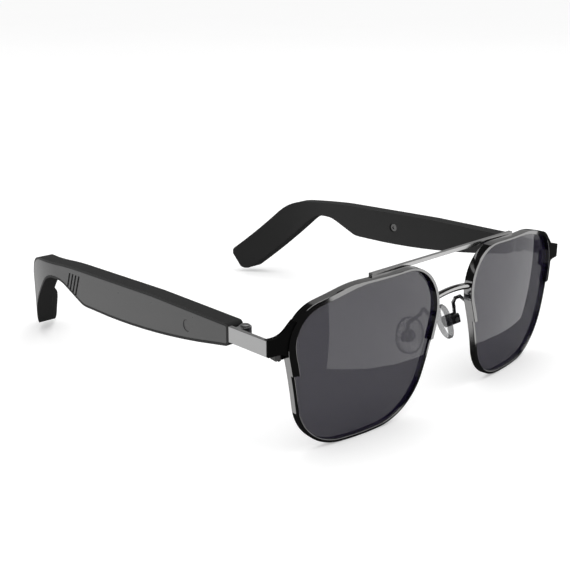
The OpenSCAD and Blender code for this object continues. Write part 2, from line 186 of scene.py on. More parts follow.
def brushed_metal(name, value, along=(1.0, 0.04, 1.0), roughness=0.3):
    shader = Shader(name, Metallic=1.0)
    streaks = shader.noise(9000.0, 3.0, shader.stretched(along))
    tone = shader.noise(120.0, 2.0)
    shader.feed(
        Base_Color=shader.blend(0.6 * streaks + 0.4 * tone, grey(value * 0.86), grey(value * 1.1)),
        Roughness=roughness - 0.06 + 0.14 * streaks,
    )
    shader.bump(streaks, 0.000004, 0.4)
    return shader.material


rim_metal = polished_metal("rim_polish", 0.3)
dark_metal = polished_metal("dark_polish", 0.3, 0.1)
black_metal = polished_metal("black_plating", 0.06, 0.2)
bar_metal = polished_metal("bar_polish", 0.5, 0.16)
arm_metal = brushed_metal("arm_brushed", 0.5)
screw_metal = brushed_metal("screw_turned", 0.55, (1.0, 1.0, 1.0), 0.42)
contact_metal = polished_metal("contact_plate", 0.16, 0.25)
print("metals:", len(bpy.data.materials))


# %% Plastics
def moulded_plastic(name, value, roughness, level, grain=0.000012, warm=0.0):
    shader = Shader(name, Specular_IOR_Level=level)
    fine = shader.noise(5200.0, 2.0)
    slow = shader.noise(38.0, 3.0)
    darker, lighter = grey(value * 0.86, warm), grey(value * 1.14, warm)
    shader.feed(
        Base_Color=shader.blend(0.7 * slow + 0.3 * fine, darker, lighter),
        Roughness=roughness - 0.05 + 0.1 * shader.noise(900.0, 2.0),
    )
    shader.bump(fine, grain, 0.5)
    return shader.material


cover_plastic = moulded_plastic("cover_satin", 0.05, 0.3, 0.7)
shell_plastic = moulded_plastic("shell_satin", 0.02, 0.5, 0.22)
lug_lacquer = moulded_plastic("lug_lacquer", 0.003, 0.45, 0.02, 0.000003)
core_plastic = moulded_plastic("core_dark", 0.01, 0.3, 0.5, 0.000003)
speaker_plastic = moulded_plastic("speaker_black", 0.02, 0.6, 0.3)
battery_foil = brushed_metal("battery_foil", 0.5, (1.0, 0.3, 1.0), 0.35)
sensor_film = moulded_plastic("sensor_film", 0.2, 0.35, 0.5, 0.000002, 0.35)


def board_finish():
    shader = Shader("board_lacquer", Roughness=0.4)
    inputs = {"Vector": shader.position, "Scale": 900.0, "Randomness": 0.15}
    tracks = shader.node("ShaderNodeTexVoronoi", {"feature": "DISTANCE_TO_EDGE"}, inputs)
    lines = shader.ramp(tracks, ((0.04, 1.0), (0.09, 0.0)))
    shader.feed(Base_Color=shader.blend(lines, (0.01, 0.1, 0.04, 1.0), (0.04, 0.25, 0.09, 1.0)))
    return shader.material


board_lacquer = board_finish()


def perforated_finish():
    """Woven acoustic mesh: round holes in a dark screen."""
    shader = Shader("speaker_screen", Metallic=0.6, Roughness=0.5)
    inputs = {"Vector": shader.position, "Scale": 2600.0, "Randomness": 0.0}
    holes = shader.ramp(shader.node("ShaderNodeTexVoronoi", {}, inputs), ((0.28, 1.0), (0.38, 0.0)))
    shader.feed(Base_Color=shader.blend(holes, grey(0.05), grey(0.004)))
    shader.bump(1.0 - holes, 0.00003, 0.7)
    return shader.material


speaker_screen = perforated_finish()
print("finishes so far:", len(bpy.data.materials))


# %% [markdown]
# ## Tinted lenses and clear pads
# A dark sun lens lets through only about a twentieth of the light. The lens is thin, so bending of
# light hardly shows: a dark glossy surface with a little transparency looks right and renders cleanly.
# The nose pads are clear silicone. Their thin middle is nearly invisible, while light that enters the
# round border is bent away, so the border looks dark: that dark is painted shade, laid on by an attribute
# that grows towards the border.


# %% Lens and silicone
def lens_finish():
    shader = Shader("lens_tint", Specular_IOR_Level=0.66, IOR=1.52)
    tone = shader.noise(30.0, 1.0)
    shader.feed(
        Base_Color=shader.blend(tone, (0.0055, 0.0035, 0.014, 1.0), (0.007, 0.005, 0.018, 1.0)),
        Roughness=0.012 + 0.01 * shader.noise(200.0),
        Alpha=0.762 + 0.008 * tone,
    )
    return shader.material


def silicone_finish():
    shader = Shader("pad_silicone", IOR=1.41, Specular_IOR_Level=0.5)
    cloud = shader.noise(260.0, 2.0)
    rim = shader.node("ShaderNodeAttribute", {"attribute_name": "edge"}, {}, "Fac")
    # The dark border colour is painted shade: it stands in for light that the rounded border bends away.
    border = shader.ramp(rim, ((0.86, 0.0), (0.94, 1.0)))
    clear = shader.blend(cloud, (0.80, 0.81, 0.84, 1.0), (0.86, 0.87, 0.88, 1.0))
    shader.feed(
        Base_Color=shader.blend(border, clear, (0.012, 0.012, 0.015, 1.0)),
        Alpha=0.12 + 0.6 * border,
        Roughness=0.1 + 0.08 * cloud,
    )
    shader.bump(shader.noise(700.0, 2.0), 0.000004, 0.3)
    return shader.material


lens_tint = lens_finish()
pad_silicone = silicone_finish()

# %% [markdown]
# ## Sizes of the face
# The two lenses lie on one kind of dome. Each turns back a little at the temple side and leans forward
# at the top. The rim is an outline of six round corners, given as shares of its width and height. The
# same rule gives every width of edge: the corners move inwards, and the corner radii shrink with them.

# %% Face dimensions
RIM_W = 57.2 * MM
RIM_H = 48.5 * MM
LENS_PITCH = 73.7 * MM
BASE_R = 145.0 * MM
WRAP = math.radians(6.5)
TILT = math.radians(2.0)
LENS_Z = RIM_H / 2 * math.cos(TILT)
TEMPLE_REACH = 156.6 * MM
FRONT_Y = -(TEMPLE_REACH - RIM_H / 2 * math.sin(TILT)) / 2
RIM_CORNERS = (
    (-0.590, 0.493, 13.9),
    (-0.330, -0.485, 18.5),
    (0.040, -0.503, 140.0),
    (0.402, -0.485, 17.5),
    (0.532, 0.366, 12.7),
    (0.126, 0.486, 33.8),
)
UPPER_WIDTHS = (0.7, 1.5, 1.5, 1.5, 2.3, 1.4)
WIRE_W = 1.0
RIM_DEPTH = 2.8 * MM
WIRE_DEPTH = 2.0 * MM
LENS_RECESS = 1.2 * MM
LENS_T = 1.2 * MM
NOSE_SPLIT = -0.3 * MM
SIDE_SPLIT = 1.0 * MM


def inset_corners(widths):
    """The rim's corners moved inwards, edge i ending at corner i, in metres."""
    corners = [np.array([x * RIM_W, y * RIM_H, r * MM]) for x, y, r in RIM_CORNERS]
    moved = []
    for i, b in enumerate(corners):
        a, c = corners[i - 1], corners[(i + 1) % len(corners)]
        e, f = (b - a)[:2], (c - b)[:2]
        n1 = np.array([-e[1], e[0]]) / np.linalg.norm(e)
        n2 = np.array([-f[1], f[0]]) / np.linalg.norm(f)
        k = n1 @ n2
        w1, w2 = widths[i] * MM, widths[(i + 1) % len(corners)] * MM
        place = b[:2] + ((w1 - w2 * k) * n1 + (w2 - w1 * k) * n2) / (1 - k * k)
        moved.append((*place, max(0.3 * MM, b[2] - (w1 + w2) / 2)))
    return moved


def round_outline(corners, per_corner=24, per_edge=4):
    """Points along the closed outline: the same number on each corner and edge, so outlines pair up."""
    arcs = []
    for i, b in enumerate(corners):
        a, c = np.array(corners[i - 1][:2]), np.array(corners[(i + 1) % len(corners)][:2])
        centre_to, radius = np.array(b[:2]), b[2]
        e = (centre_to - a) / np.linalg.norm(centre_to - a)
        f = (c - centre_to) / np.linalg.norm(c - centre_to)
        turn = math.atan2(e[0] * f[1] - e[1] * f[0], e @ f)
        start = centre_to - e * radius * math.tan(turn / 2)
        centre = start + np.array([-e[1], e[0]]) * radius
        arm = start - centre
        angles = np.linspace(0, turn, per_corner)
        arcs.append([centre + Matrix.Rotation(s, 2) @ Vector(arm) for s in angles])
    points = []
    for i, arc in enumerate(arcs):
        points.extend(np.array(p) for p in arc)
        last, after = np.array(arc[-1]), np.array(arcs[(i + 1) % len(arcs)][0])
        points.extend(last * (1 - t) + after * t for t in np.linspace(0, 1, per_edge + 2)[1:-1])
    return np.array(points)


def even_outline(widths):
    return round_outline(inset_corners(widths))


outer_outline = even_outline((0.0,) * 6)
opening_outline = even_outline(UPPER_WIDTHS)
wire_outline = even_outline((WIRE_W,) * 6)
print("outline points:", len(outer_outline), "rim width mm:", round(np.ptp(outer_outline[:, 0]) / MM, 2))

# %% [markdown]
# ## Placing a lens in the frame
# Rims and lenses are drawn flat, x across and z up, with y as the depth behind the dome's apex. One
# matrix then leans, turns and moves them to the left side of the face, and a mirror gives the right.


# %% Lens placement
def lens_matrix(side):
    place = Matrix.Translation((LENS_PITCH / 2, FRONT_Y, LENS_Z))
    return on_side(place @ Matrix.Rotation(WRAP, 4, "Z") @ Matrix.Rotation(TILT, 4, "X"), side)


def dome_sag(points):
    """How far the dome lies behind its apex at points (x, z)."""
    return BASE_R - np.sqrt(BASE_R**2 - points[:, 0] ** 2 - points[:, 1] ** 2)


def on_side(matrix, side):
    """The matrix for the left side as it is, and mirrored for the right side."""
    return Matrix.Scale(side, 4, (1, 0, 0)) @ matrix if side < 0 else matrix


def mesh_piece(name, vertices, faces, material, smooth_below=35.0):
    """A finished mesh object at the origin, with outward faces and sharp edges kept."""
    mesh = bpy.data.meshes.new(name)
    mesh.from_pydata([tuple(v) for v in vertices], [], faces)
    mesh.materials.append(material)
    piece = bpy.data.objects.new(name, mesh)
    bpy.context.scene.collection.objects.link(piece)
    finish_mesh(mesh, smooth_below)
    return piece


def finish_mesh(mesh, smooth_below):
    work = bmesh.new()
    work.from_mesh(mesh)
    bmesh.ops.remove_doubles(work, verts=work.verts, dist=2e-7)
    bmesh.ops.recalc_face_normals(work, faces=work.faces)
    limit = math.radians(smooth_below)
    for edge in work.edges:
        edge.smooth = len(edge.link_faces) == 2 and edge.calc_face_angle(math.pi) < limit
    for face in work.faces:
        face.smooth = True
    work.to_mesh(mesh)
    work.free()


def fix_to(piece, body, slot, *nodes):
    """The piece moves with a body and shows instead of its nodes. The slot argument is not used."""
    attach(piece, body)
    if nodes:
        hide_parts(*nodes)
    return piece


# %% [markdown]
# ## Rims by a rule
# A rim is a flat bar bent round the outline, with softly broken edges. Geometry Nodes can loft it: a
# grid has one row for each outline point and one column for each point of the section, and every grid
# point reads its outer and inner edge from the outline mesh. The section is a rectangle whose
# four corners are quarter circles of three points each. The first and last rows shrink to a point, which
# closes the ends.


# %% Node tree helper
class Tree:
    """A Geometry Nodes group with named inputs."""

    def __init__(self, name, inputs):
        self.group = bpy.data.node_groups.new(name, "GeometryNodeTree")
        face = self.group.interface
        face.new_socket("Geometry", in_out="INPUT", socket_type="NodeSocketGeometry")
        for label, kind in inputs.items():
            face.new_socket(label, in_out="INPUT", socket_type=kind)
        face.new_socket("Geometry", in_out="OUTPUT", socket_type="NodeSocketGeometry")
        self.start = self.group.nodes.new("NodeGroupInput")
        self.end = self.group.nodes.new("NodeGroupOutput")

    def input(self, label):
        return self.start.outputs[label]

    def add(self, kind, settings=None, inputs=None, output=0):
        node = self.group.nodes.new(kind)
        for name, value in (settings or {}).items():
            setattr(node, name, value)
        for key, given in (inputs or {}).items():
            for value in given if isinstance(given, list) else [given]:
                if isinstance(value, bpy.types.NodeSocket):
                    self.group.links.new(value, node.inputs[key])
                else:
                    node.inputs[key].default_value = value
        return node.outputs[output]

    def parts(self, vector):
        """The x, y and z of a vector."""
        return self.add("ShaderNodeSeparateXYZ", {}, {0: vector}).node.outputs

    def math(self, operation, first, second=0.0, third=0.0):
        return self.add("ShaderNodeMath", {"operation": operation}, {0: first, 1: second, 2: third})

    def finish(self, geometry):
        """Ends the tree with real geometry and its material."""
        real = self.add("GeometryNodeRealizeInstances", {}, {"Geometry": geometry})
        inputs = {"Geometry": real, "Material": self.input("Material")}
        painted = self.add("GeometryNodeSetMaterial", {}, inputs)
        self.group.links.new(painted, self.end.inputs["Geometry"])
        return self.group


def grown(name, base_mesh, group, values, place=Matrix.Identity(4), smooth_below=35.0):
    """Runs a tree on a mesh and keeps the result as a plain mesh object."""
    holder = bpy.data.objects.new(name + "_base", base_mesh)
    bpy.context.scene.collection.objects.link(holder)
    modifier = holder.modifiers.new("rule", "NODES")
    modifier.node_group = group
    for item in group.interface.items_tree:
        if item.item_type == "SOCKET" and item.in_out == "INPUT" and item.name in values:
            modifier[item.identifier] = values[item.name]
    evaluated = holder.evaluated_get(bpy.context.evaluated_depsgraph_get())
    mesh = bpy.data.meshes.new_from_object(evaluated)
    holder.modifiers.remove(modifier)
    bpy.data.objects.remove(holder)
    mesh.transform(place)
    finish_mesh(mesh, smooth_below)
    mesh.name = name
    piece = bpy.data.objects.new(name, mesh)
    bpy.context.scene.collection.objects.link(piece)
    return piece


# %% The rim tree
def rim_tree():
    inputs = {
        "Rows": "NodeSocketInt",
        "Section Points": "NodeSocketInt",
        "Edge Radius": "NodeSocketFloat",
        "Front": "NodeSocketFloat",
        "Back": "NodeSocketFloat",
        "Dome Radius": "NodeSocketFloat",
        "Material": "NodeSocketMaterial",
    }
    tree = Tree("rim_loft", inputs)
    columns = tree.math("ADD", tree.input("Section Points"), 1)
    rows = tree.math("ADD", tree.input("Rows"), 2)
    sizes = {"Size X": 1.0, "Size Y": 1.0, "Vertices X": rows, "Vertices Y": columns}
    grid = tree.add("GeometryNodeMeshGrid", {}, sizes)
    index = tree.add("GeometryNodeInputIndex")
    row = tree.math("FLOOR", tree.math("DIVIDE", tree.math("ADD", index, 0.5), columns))
    column = tree.math("SUBTRACT", index, tree.math("MULTIPLY", row, columns))
    last = tree.math("SUBTRACT", tree.input("Rows"), 1)
    source = tree.math("MAXIMUM", tree.math("MINIMUM", tree.math("SUBTRACT", row, 1), last), 0)
    open_end = tree.math("LESS_THAN", row, 0.5)
    far_end = tree.math("GREATER_THAN", row, tree.math("ADD", last, 1.5))
    closing = tree.math("ADD", open_end, far_end)

    edges = []
    for label in ("outer_edge", "inner_edge"):
        named = tree.add("GeometryNodeInputNamedAttribute", {"data_type": "FLOAT_VECTOR"}, {"Name": label})
        inputs = {"Geometry": tree.input("Geometry"), "Value": named, "Index": source}
        edges.append(tree.add("GeometryNodeSampleIndex", {"data_type": "FLOAT_VECTOR"}, inputs))

    width = tree.add("ShaderNodeVectorMath", {"operation": "DISTANCE"}, {0: edges[0], 1: edges[1]}, "Value")
    span = tree.math("SUBTRACT", tree.input("Back"), tree.input("Front"))
    corner = tree.math("FLOOR", tree.math("DIVIDE", tree.math("ADD", column, 0.5), 3))
    step = tree.math("SUBTRACT", column, tree.math("MULTIPLY", corner, 3))
    quarter = tree.math("MULTIPLY", corner, math.pi / 2)
    angle = tree.math("MULTIPLY_ADD", step, math.pi / 4, quarter)
    middle = tree.math("ADD", quarter, math.pi / 4)
    open_row = tree.math("SUBTRACT", 1.0, closing)
    shares = []
    for operation, size in (("COSINE", width), ("SINE", span)):
        share = tree.math("DIVIDE", tree.input("Edge Radius"), size)
        sign = tree.math("SIGN", tree.math(operation, middle))
        centre = tree.math("MULTIPLY", sign, tree.math("SUBTRACT", 0.5, share))
        offset = tree.math("MULTIPLY_ADD", tree.math(operation, angle), share, centre)
        shares.append(tree.math("MULTIPLY_ADD", offset, open_row, 0.5))
    across, deep = shares

    ends = {0: across, 4: edges[1], 5: edges[0]}
    x, _, z = tree.parts(tree.add("ShaderNodeMix", {"data_type": "VECTOR"}, ends, 1))
    squares = tree.math("ADD", tree.math("MULTIPLY", x, x), tree.math("MULTIPLY", z, z))
    radius = tree.input("Dome Radius")
    reach = tree.math("SQRT", tree.math("SUBTRACT", tree.math("MULTIPLY", radius, radius), squares))
    sag = tree.math("SUBTRACT", radius, reach)
    depth = tree.math("MULTIPLY_ADD", deep, span, tree.input("Front"))
    y = tree.math("ADD", sag, depth)
    place = tree.add("ShaderNodeCombineXYZ", {}, {0: x, 1: y, 2: z})
    moved = tree.add("GeometryNodeSetPosition", {}, {"Geometry": grid, "Position": place})
    joined = tree.add("GeometryNodeMergeByDistance", {}, {"Geometry": moved, "Distance": 1e-6})
    return tree.finish(joined)


rim_loft = rim_tree()


# %% Rims on both sides
def above_joint(points):
    """How far points lie above the line where the upper and lower rim meet."""
    slope = (SIDE_SPLIT - NOSE_SPLIT) / RIM_W
    return points[..., 1] - (SIDE_SPLIT + NOSE_SPLIT) / 2 - slope * points[..., 0]


def outline_part(above):
    """Indices of the outline points above or below the joint line, in order."""
    up = above_joint(outer_outline) > 0
    inside = up if above else ~up
    count = len(inside)
    first = next(i for i in range(count) if inside[i] and not inside[i - 1])
    return [(first + k) % count for k in range(count) if inside[(first + k) % count]]


def split_point(outline, index_in, index_out):
    """Where the outline crosses the joint line between two of its points."""
    a, b = outline[index_in], outline[index_out]
    from_a, from_b = above_joint(a), above_joint(b)
    return a + (b - a) * from_a / (from_a - from_b)


def rim_base(name, above, inner_outline):
    run = outline_part(above)
    count = len(outer_outline)
    before, after = (run[0] - 1) % count, (run[-1] + 1) % count
    rows = []
    for outline in (outer_outline, inner_outline):
        first = split_point(outline, run[0], before)
        last = split_point(outline, run[-1], after)
        rows.append(np.vstack([first, outline[run], last]))
    mesh = bpy.data.meshes.new(name)
    flat = [(p[0], 0.0, p[1]) for p in rows[0]]
    mesh.from_pydata(flat, [(i, i + 1) for i in range(len(flat) - 1)], [])
    for label, points in zip(("outer_edge", "inner_edge"), rows):
        attribute = mesh.attributes.new(label, "FLOAT_VECTOR", "POINT")
        attribute.data.foreach_set("vector", [c for p in points for c in (p[0], 0.0, p[1])])
    return mesh, len(flat)


RIM_PARTS = {
    "upper_rim": (True, opening_outline, 0.0, RIM_DEPTH),
    "lower_rim": (False, wire_outline, RIM_DEPTH - WIRE_DEPTH, RIM_DEPTH),
}
for part, (above, inner, front, back) in RIM_PARTS.items():
    for side_name, side in SIDES:
        name = f"{part}_{side_name}"
        base, rows = rim_base(name, above, inner)
        values = {
            "Rows": rows,
            "Section Points": 12,
            "Edge Radius": 0.12 * MM,
            "Front": front,
            "Back": back,
            "Dome Radius": BASE_R,
            "Material": rim_metal,
        }
        rim = grown(name + "_polished", base, rim_loft, values, lens_matrix(side), 12.0)
        fix_to(rim, "front_frame", "rim_black", name)
        print(name, "faces:", len(rim.data.polygons))

# %% [markdown]
# ## Lenses
# A lens is a slice of the dome, cut to an outline that reaches into the rim. Rings of points from the
# middle to the edge give an even surface, front and back, and a narrow bevel breaks the edge.

# %% Lenses on both sides
LENS_SCALES = np.linspace(0.12, 1.0, 12)
LENS_BITE = 0.48
LENS_BEVEL = 0.12 * MM
lens_edge = even_outline((WIRE_W - LENS_BITE,) * 6)


def ring_shell(front_tip, rings, back_tip):
    """Vertices and faces of a closed shell: a tip, rings of points one after the other, and a tip."""
    vertices = [front_tip, *(point for ring in rings for point in ring), back_tip]
    n = len(rings[0])
    last = 1 + (len(rings) - 1) * n
    faces = [(0, 1 + i, 1 + (i + 1) % n) for i in range(n)]
    for a in range(1, last, n):
        b = a + n
        faces.extend((a + i, b + i, b + (i + 1) % n, a + (i + 1) % n) for i in range(n))
    faces.extend((len(vertices) - 1, last + (i + 1) % n, last + i) for i in range(n))
    return vertices, faces


def lens_mesh(name, side):
    shrink = 1 - LENS_BEVEL / (RIM_H / 2)
    front = [lens_edge * s for s in LENS_SCALES[:-1]] + [lens_edge * shrink]
    back = LENS_RECESS + LENS_T
    layers = [(ring, LENS_RECESS) for ring in front]
    layers += [(lens_edge, LENS_RECESS + LENS_BEVEL), (lens_edge, back - LENS_BEVEL)]
    layers += [(ring, back) for ring in reversed(front)]
    rings = [[(p[0], y, p[1]) for p, y in zip(ring, dome_sag(ring) + depth)] for ring, depth in layers]
    vertices, faces = ring_shell((0.0, LENS_RECESS, 0.0), rings, (0.0, back, 0.0))
    place = lens_matrix(side)
    return mesh_piece(name, [place @ Vector(v) for v in vertices], faces, lens_tint)


for side_name, side in SIDES:
    lens = lens_mesh(f"lens_{side_name}_tinted", side)
    fix_to(lens, "front_frame", "lens_tint", f"lens_{side_name}")
    print(lens.name, "faces:", len(lens.data.polygons))

# %% [markdown]
# ## Nose pads
# A pad is a small cushion with a domed face to the nose and a flat back. Like a lens it is drawn from
# rings, with its border well rounded, and each ring keeps its share of the way out as the edge attribute.

# %% Nose pads on both sides
PAD_W, PAD_H, PAD_T, PAD_BACK = 8.6 * MM, 11.6 * MM, 2.0 * MM, 0.4 * MM
PAD_DOME = 24.0 * MM
PAD_PLACE = Vector((LENS_PITCH / 2 - 0.48 * RIM_W, FRONT_Y + 9.6 * MM, 22.2 * MM))
PAD_TURN, PAD_FLARE = math.radians(-26.0), math.radians(-14.0)
PAD_SHARES = (0.25, 0.5, 0.7, 0.82, 0.9, 0.96, 1.0)
PAD_SQUARENESS = 0.86


def pad_outline(count=72):
    """The border of a pad, y across and z up, as a soft rectangle."""
    angles = np.linspace(0, 2 * math.pi, count, endpoint=False)
    waves = np.stack([np.cos(angles), np.sin(angles)], 1)
    return np.sign(waves) * np.abs(waves) ** PAD_SQUARENESS * np.array([PAD_W / 2, PAD_H / 2])


def rounding(share, start, depth):
    """How far an edge has fallen away at a share of the way out, as a quarter of an ellipse."""
    return depth * (1 - math.sqrt(1 - max(0.0, (share - start) / (1 - start)) ** 2))


def pad_mesh(name, side):
    border = pad_outline()
    layers = []
    for share in PAD_SHARES:
        dome = PAD_DOME - np.sqrt(PAD_DOME**2 - ((border * share) ** 2).sum(1))
        layers.append((share, dome - PAD_T + rounding(share, 0.86, 0.5 * MM)))
    for share in reversed(PAD_SHARES):
        layers.append((share, np.full(len(border), PAD_BACK - rounding(share, 0.9, 0.25 * MM))))
    rings = [[(x, p[0], p[1]) for p, x in zip(border * share, depth)] for share, depth in layers]
    vertices, faces = ring_shell((-PAD_T, 0.0, 0.0), rings, (PAD_BACK, 0.0, 0.0))
    edges = [0.0, *(share for share, _ in layers for _ in border), 0.0]
    turned = Matrix.Rotation(PAD_TURN, 4, "Z") @ Matrix.Rotation(PAD_FLARE, 4, "Y")
    place = on_side(Matrix.Translation(PAD_PLACE) @ turned, side)
    piece = mesh_piece(name, [place @ Vector(v) for v in vertices], faces, pad_silicone)
    attribute = piece.data.attributes.new("edge", "FLOAT", "POINT")
    attribute.data.foreach_set("value", edges)
    return piece


for side_name, side in SIDES:
    pad = pad_mesh(f"nose_pad_{side_name}_clear", side)
    fix_to(pad, f"pad_{side_name}", "silicone", f"nose_pad_{side_name}")
    low = np.min([v.co for v in pad.data.vertices], 0) - np.array(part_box(f"nose_pad_{side_name}")[0])
    print(pad.name, "off the packed pad by mm:", np.round(low / MM, 2))

# %% [markdown]
# ## Temples and lugs with broken edges
# The temple shells, lugs and side arms have the right shape already, but a moulded or stamped edge is
# never a perfect corner: it catches a thin line of light. A copy of the node is merged, its flat parts
# are joined to single faces, and a bevel rounds what is sharp.


# %% Copies with soft edges
SOFT_ANGLE = math.radians(28.0)
FLAT_ANGLE = math.radians(0.6)


def body_of(group, side_name):
    """Pieces of the front are one body, temples and pads one on each side."""
    return "front_frame" if group == "front" else f"{group}_{side_name}"


def soft_copy(node, width, material):
    source = frame["nodes"][node]
    mesh = source.data.copy()
    mesh.name = node + "_soft"
    mesh.materials.clear()
    mesh.materials.append(material)
    work = bmesh.new()
    work.from_mesh(mesh)
    bmesh.ops.remove_doubles(work, verts=work.verts, dist=1e-6)
    bmesh.ops.dissolve_limit(work, angle_limit=FLAT_ANGLE, verts=work.verts, edges=work.edges)
    for edge in work.edges:
        edge.smooth = len(edge.link_faces) == 2 and edge.calc_face_angle(math.pi) < SOFT_ANGLE
    for face in work.faces:
        face.smooth = True
    work.to_mesh(mesh)
    work.free()
    for name in [a.name for a in mesh.attributes if a.name.startswith("custom_normal")]:
        mesh.attributes.remove(mesh.attributes[name])
    piece = bpy.data.objects.new(node + "_soft", mesh)
    bpy.context.scene.collection.objects.link(piece)
    bevel = piece.modifiers.new("edges", "BEVEL")
    bevel.width = width
    bevel.segments = 3
    bevel.limit_method = "ANGLE"
    bevel.angle_limit = SOFT_ANGLE
    bevel.harden_normals = True
    bevel.use_clamp_overlap = True
    return piece


SOFT_NODES = (
    ("outer_cover", "temple", 0.28 * MM, cover_plastic, "cover_grey"),
    ("inner_shell", "temple", 0.35 * MM, shell_plastic, "shell_dark"),
    ("end_piece", "front", 0.14 * MM, lug_lacquer, "rim_black"),
    ("side_arm", "front", 0.1 * MM, arm_metal, "arm_steel"),
    ("closing_block", "front", 0.12 * MM, black_metal, "rim_black"),
    ("pad_core", "pad", 0.12 * MM, core_plastic, "core_steel"),
)
for part, group, width, material, slot in SOFT_NODES:
    for side_name, side in SIDES:
        node = f"{part}_{side_name}"
        fix_to(soft_copy(node, width, material), body_of(group, side_name), slot, node)
print("soft copies:", 2 * len(SOFT_NODES))

# %% [markdown]
# ## Small screws
# All small screws are one thing in several sizes: a turned head with a broken edge, a slot across it and
# a plain shank. They repeat, so one tree draws them. The base mesh is only a point for each screw, with
# the way the head looks as an attribute, and every point gets an instance. Tightened screws stop at any
# angle, so each one is rolled by a random turn with a fixed seed.


# %% The screw tree
SCREW_SIZES = ("Head Radius", "Head Height", "Shank Radius", "Shank Length", "Slot Width")


def screw_tree():
    inputs = {label: "NodeSocketFloat" for label in SCREW_SIZES}
    inputs["Seed"] = "NodeSocketInt"
    inputs["Material"] = "NodeSocketMaterial"
    tree = Tree("small_screw", inputs)
    head_r, head_h = tree.input("Head Radius"), tree.input("Head Height")
    round_bar = {"Vertices": 32, "Side Segments": 4, "Radius": head_r, "Depth": head_h}
    head = tree.add("GeometryNodeMeshCylinder", {}, round_bar)
    x, y, z = tree.parts(tree.add("GeometryNodeInputPosition"))
    top_quarter = tree.math("MAXIMUM", tree.math("SUBTRACT", tree.math("DIVIDE", z, head_h), 0.25), 0.0)
    shrink = tree.math("MULTIPLY_ADD", top_quarter, -0.7, 1.0)
    narrow = {0: tree.math("MULTIPLY", x, shrink), 1: tree.math("MULTIPLY", y, shrink)}
    narrow[2] = tree.math("MULTIPLY_ADD", head_h, 0.5, z)
    turned = tree.add("ShaderNodeCombineXYZ", {}, narrow)
    head = tree.add("GeometryNodeSetPosition", {}, {"Geometry": head, "Position": turned})

    length = tree.math("MULTIPLY_ADD", head_h, 0.3, tree.input("Shank Length"))
    bar = {"Vertices": 24, "Radius": tree.input("Shank Radius"), "Depth": length}
    shank = tree.add("GeometryNodeMeshCylinder", {}, bar)
    drop = tree.math("SUBTRACT", tree.math("MULTIPLY", length, 0.5), tree.input("Shank Length"))
    down = tree.add("ShaderNodeCombineXYZ", {}, {2: drop})
    shank = tree.add("GeometryNodeTransform", {}, {"Geometry": shank, "Translation": down})
    union = {"operation": "UNION", "solver": "EXACT"}
    joined = tree.add("GeometryNodeMeshBoolean", union, {"Mesh 2": [head, shank]})

    across = tree.math("MULTIPLY", head_r, 3.0)
    size = tree.add("ShaderNodeCombineXYZ", {}, {0: across, 1: tree.input("Slot Width"), 2: head_h})
    blade = tree.add("GeometryNodeMeshCube", {}, {"Size": size})
    up = tree.add("ShaderNodeCombineXYZ", {}, {2: head_h})
    blade = tree.add("GeometryNodeTransform", {}, {"Geometry": blade, "Translation": up})
    cut = {"Mesh 1": joined, "Mesh 2": blade}
    screw = tree.add("GeometryNodeMeshBoolean", {"operation": "DIFFERENCE", "solver": "EXACT"}, cut)

    way = tree.add("GeometryNodeInputNamedAttribute", {"data_type": "FLOAT_VECTOR"}, {"Name": "way"})
    facing = tree.add("FunctionNodeAlignRotationToVector", {"axis": "Z"}, {"Vector": way})
    half_turn = {2: 0.0, 3: math.pi, "Seed": tree.input("Seed")}
    angle = tree.add("FunctionNodeRandomValue", {"data_type": "FLOAT"}, half_turn, 1)
    roll = tree.add("FunctionNodeAxisAngleToRotation", {}, {"Axis": (0, 0, 1), "Angle": angle})
    local = {"Rotation": facing, "Rotate By": roll}
    rotation = tree.add("FunctionNodeRotateRotation", {"rotation_space": "LOCAL"}, local)
    spread = {"Points": tree.input("Geometry"), "Instance": screw, "Rotation": rotation}
    return tree.finish(tree.add("GeometryNodeInstanceOnPoints", {}, spread))


small_screw = screw_tree()


# %% Screws in their places
def head_faces(node, way, count):
    """Middles of the outer faces of the heads in a node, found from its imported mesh."""
    points = np.array([v.co for v in frame["nodes"][node].data.vertices])
    reach = points @ way
    outer = points[reach > reach.max() - 0.01 * MM]
    y = outer[:, 1]
    middle = (y.min() + y.max()) / 2
    groups = [outer] if count == 1 else [outer[y < middle], outer[y > middle]]
    return [(group.min(0) + group.max(0)) / 2 for group in groups]


def screw_base(node, way, count, head_h):
    """A mesh with a point under each screw head, and the way the head looks."""
    under = [face - way * head_h for face in head_faces(node, way, count)]
    points = bpy.data.meshes.new(node + "_points")
    points.from_pydata([tuple(p) for p in under], [], [])
    attribute = points.attributes.new("way", "FLOAT_VECTOR", "POINT")
    attribute.data.foreach_set("vector", [c for _ in under for c in way])
    return points


PAD_WAY = [-c for c in joints["pad_left_rock"]["axis"]]
# Node, group, count, way of the head on the left side, sizes in millimetres, metal and slot
SCREWS = (
    ("closing_screw", "front", 1, (0, 0, -1), (1.0, 0.5, 0.6, 5.4, 0.3), black_metal, "rim_black"),
    ("hinge_screw", "temple", 1, (0, 0, 1), (1.3, 0.5, 0.7, 4.2, 0.4), screw_metal, "screw_steel"),
    ("leaf_screws", "temple", 2, (1, 0, 0), (1.0, 0.5, 0.6, 1.9, 0.3), screw_metal, "screw_steel"),
    ("pad_screw", "pad", 1, PAD_WAY, (0.75, 0.4, 0.5, 3.2, 0.22), screw_metal, "screw_steel"),
)
for part, group, count, left_way, screw_sizes, material, slot in SCREWS:
    for side_name, side in SIDES:
        node = f"{part}_{side_name}"
        way = np.array(left_way, float) * (side, 1, 1)
        values = {label: size * MM for label, size in zip(SCREW_SIZES, screw_sizes)}
        values.update({"Seed": 7, "Material": material})
        points = screw_base(node, way, count, values["Head Height"])
        screw = grown(node + "_turned", points, small_screw, values)
        fix_to(screw, body_of(group, side_name), slot, node)
        print(screw.name, "faces:", len(screw.data.polygons))

